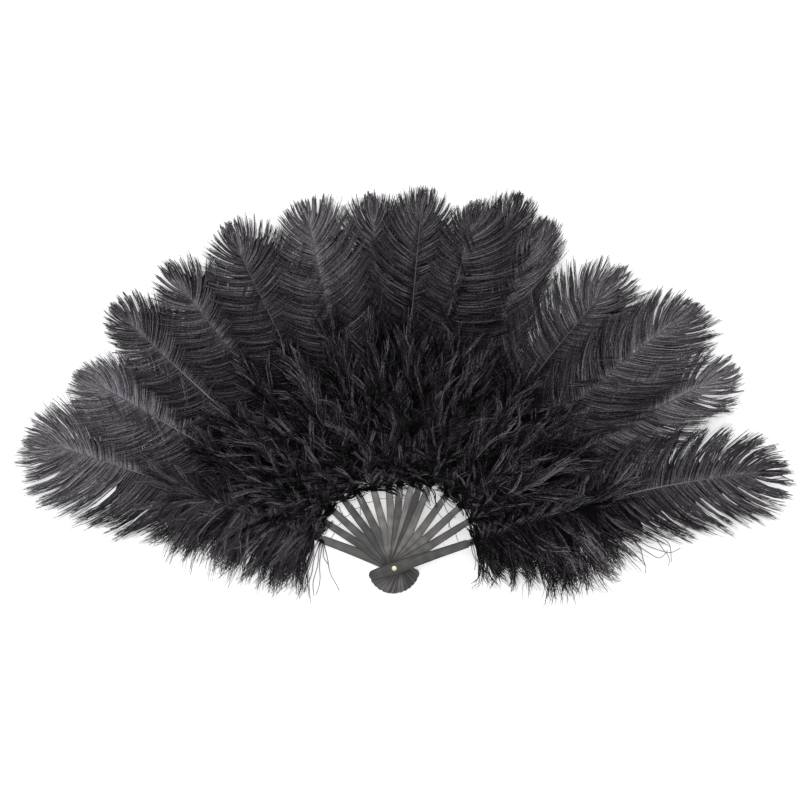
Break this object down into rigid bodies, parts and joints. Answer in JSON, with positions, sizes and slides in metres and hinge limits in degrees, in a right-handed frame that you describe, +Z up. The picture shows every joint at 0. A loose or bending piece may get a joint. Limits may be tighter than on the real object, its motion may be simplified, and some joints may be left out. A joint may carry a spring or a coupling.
{
  "type": "feather fan",
  "caption": "Folding hand fan with flat dark staves on a brass rivet, a long black ostrich plume and a tuft of down on every stave, shown fully open.",
  "frame": {"origin": "on the rivet's axis, at the flat end of its tail, on the surface that the fan lies on", "axes": "+Z up along the rivet, out of the fan's front; +Y from the rivet through the middle of the open feathers; +X to the right, towards the front guard"},
  "size_m": [0.7508, 0.4058, 0.0265],
  "materials": {
    "stave": "stained dark grey, satin, faint lengthwise grain",
    "plume": "dyed black ostrich feather, soft sheen",
    "tuft": "dyed black feather down, matt",
    "rivet": "polished pale brass",
    "cord": "black thread"
  },
  "bodies": {
    "rear_guard": {"rear_guard": "stave", "plume_01": "plume", "tuft_01": "tuft", "rivet": "rivet", "rear_washer": "rivet", "link_cord": "cord"},
    "stave_02": {"stave_02": "stave", "plume_02": "plume", "tuft_02": "tuft"},
    "stave_03": {"stave_03": "stave", "plume_03": "plume", "tuft_03": "tuft"},
    "stave_04": {"stave_04": "stave", "plume_04": "plume", "tuft_04": "tuft"},
    "stave_05": {"stave_05": "stave", "plume_05": "plume", "tuft_05": "tuft"},
    "stave_06": {"stave_06": "stave", "plume_06": "plume", "tuft_06": "tuft"},
    "stave_07": {"stave_07": "stave", "plume_07": "plume", "tuft_07": "tuft"},
    "stave_08": {"stave_08": "stave", "plume_08": "plume", "tuft_08": "tuft"},
    "stave_09": {"stave_09": "stave", "plume_09": "plume", "tuft_09": "tuft"},
    "stave_10": {"stave_10": "stave", "plume_10": "plume", "tuft_10": "tuft"},
    "stave_11": {"stave_11": "stave", "plume_11": "plume", "tuft_11": "tuft"},
    "stave_12": {"stave_12": "stave", "plume_12": "plume", "tuft_12": "tuft"},
    "stave_13": {"stave_13": "stave", "plume_13": "plume", "tuft_13": "tuft"},
    "stave_14": {"stave_14": "stave", "plume_14": "plume", "tuft_14": "tuft"},
    "front_guard": {"front_guard": "stave", "plume_15": "plume", "tuft_15": "tuft"}
  },
  "joints": [
    {"name": "fold", "type": "hinge", "parent": "rear_guard", "child": "front_guard", "pos_m": [0, 0, 0], "axis": [0, 0, 1], "range_deg": [0, 141], "deforming": ["link_cord"]},
    {"name": "stave_02_fold", "type": "hinge", "parent": "rear_guard", "child": "stave_02", "pos_m": [0, 0, 0], "axis": [0, 0, 1], "range_deg": [0, 12.2]},
    {"name": "stave_03_fold", "type": "hinge", "parent": "rear_guard", "child": "stave_03", "pos_m": [0, 0, 0], "axis": [0, 0, 1], "range_deg": [0, 22]},
    {"name": "stave_04_fold", "type": "hinge", "parent": "rear_guard", "child": "stave_04", "pos_m": [0, 0, 0], "axis": [0, 0, 1], "range_deg": [0, 32.6]},
    {"name": "stave_05_fold", "type": "hinge", "parent": "rear_guard", "child": "stave_05", "pos_m": [0, 0, 0], "axis": [0, 0, 1], "range_deg": [0, 43.2]},
    {"name": "stave_06_fold", "type": "hinge", "parent": "rear_guard", "child": "stave_06", "pos_m": [0, 0, 0], "axis": [0, 0, 1], "range_deg": [0, 54.6]},
    {"name": "stave_07_fold", "type": "hinge", "parent": "rear_guard", "child": "stave_07", "pos_m": [0, 0, 0], "axis": [0, 0, 1], "range_deg": [0, 65.7]},
    {"name": "stave_08_fold", "type": "hinge", "parent": "rear_guard", "child": "stave_08", "pos_m": [0, 0, 0], "axis": [0, 0, 1], "range_deg": [0, 73.4]},
    {"name": "stave_09_fold", "type": "hinge", "parent": "rear_guard", "child": "stave_09", "pos_m": [0, 0, 0], "axis": [0, 0, 1], "range_deg": [0, 81.3]},
    {"name": "stave_10_fold", "type": "hinge", "parent": "rear_guard", "child": "stave_10", "pos_m": [0, 0, 0], "axis": [0, 0, 1], "range_deg": [0, 86.8]},
    {"name": "stave_11_fold", "type": "hinge", "parent": "rear_guard", "child": "stave_11", "pos_m": [0, 0, 0], "axis": [0, 0, 1], "range_deg": [0, 92.8]},
    {"name": "stave_12_fold", "type": "hinge", "parent": "rear_guard", "child": "stave_12", "pos_m": [0, 0, 0], "axis": [0, 0, 1], "range_deg": [0, 105.4]},
    {"name": "stave_13_fold", "type": "hinge", "parent": "rear_guard", "child": "stave_13", "pos_m": [0, 0, 0], "axis": [0, 0, 1], "range_deg": [0, 116.8]},
    {"name": "stave_14_fold", "type": "hinge", "parent": "rear_guard", "child": "stave_14", "pos_m": [0, 0, 0], "axis": [0, 0, 1], "range_deg": [0, 127.6]}
  ],
  "couplings": [
    {"joint": "stave_02_fold", "follows": "fold", "ratio": 0.08582},
    {"joint": "stave_03_fold", "follows": "fold", "ratio": 0.15532},
    {"joint": "stave_04_fold", "follows": "fold", "ratio": 0.2305},
    {"joint": "stave_05_fold", "follows": "fold", "ratio": 0.30567},
    {"joint": "stave_06_fold", "follows": "fold", "ratio": 0.38652},
    {"joint": "stave_07_fold", "follows": "fold", "ratio": 0.46525},
    {"joint": "stave_08_fold", "follows": "fold", "ratio": 0.51986},
    {"joint": "stave_09_fold", "follows": "fold", "ratio": 0.57589},
    {"joint": "stave_10_fold", "follows": "fold", "ratio": 0.61489},
    {"joint": "stave_11_fold", "follows": "fold", "ratio": 0.65745},
    {"joint": "stave_12_fold", "follows": "fold", "ratio": 0.74681},
    {"joint": "stave_13_fold", "follows": "fold", "ratio": 0.82766},
    {"joint": "stave_14_fold", "follows": "fold", "ratio": 0.90426}
  ]
}
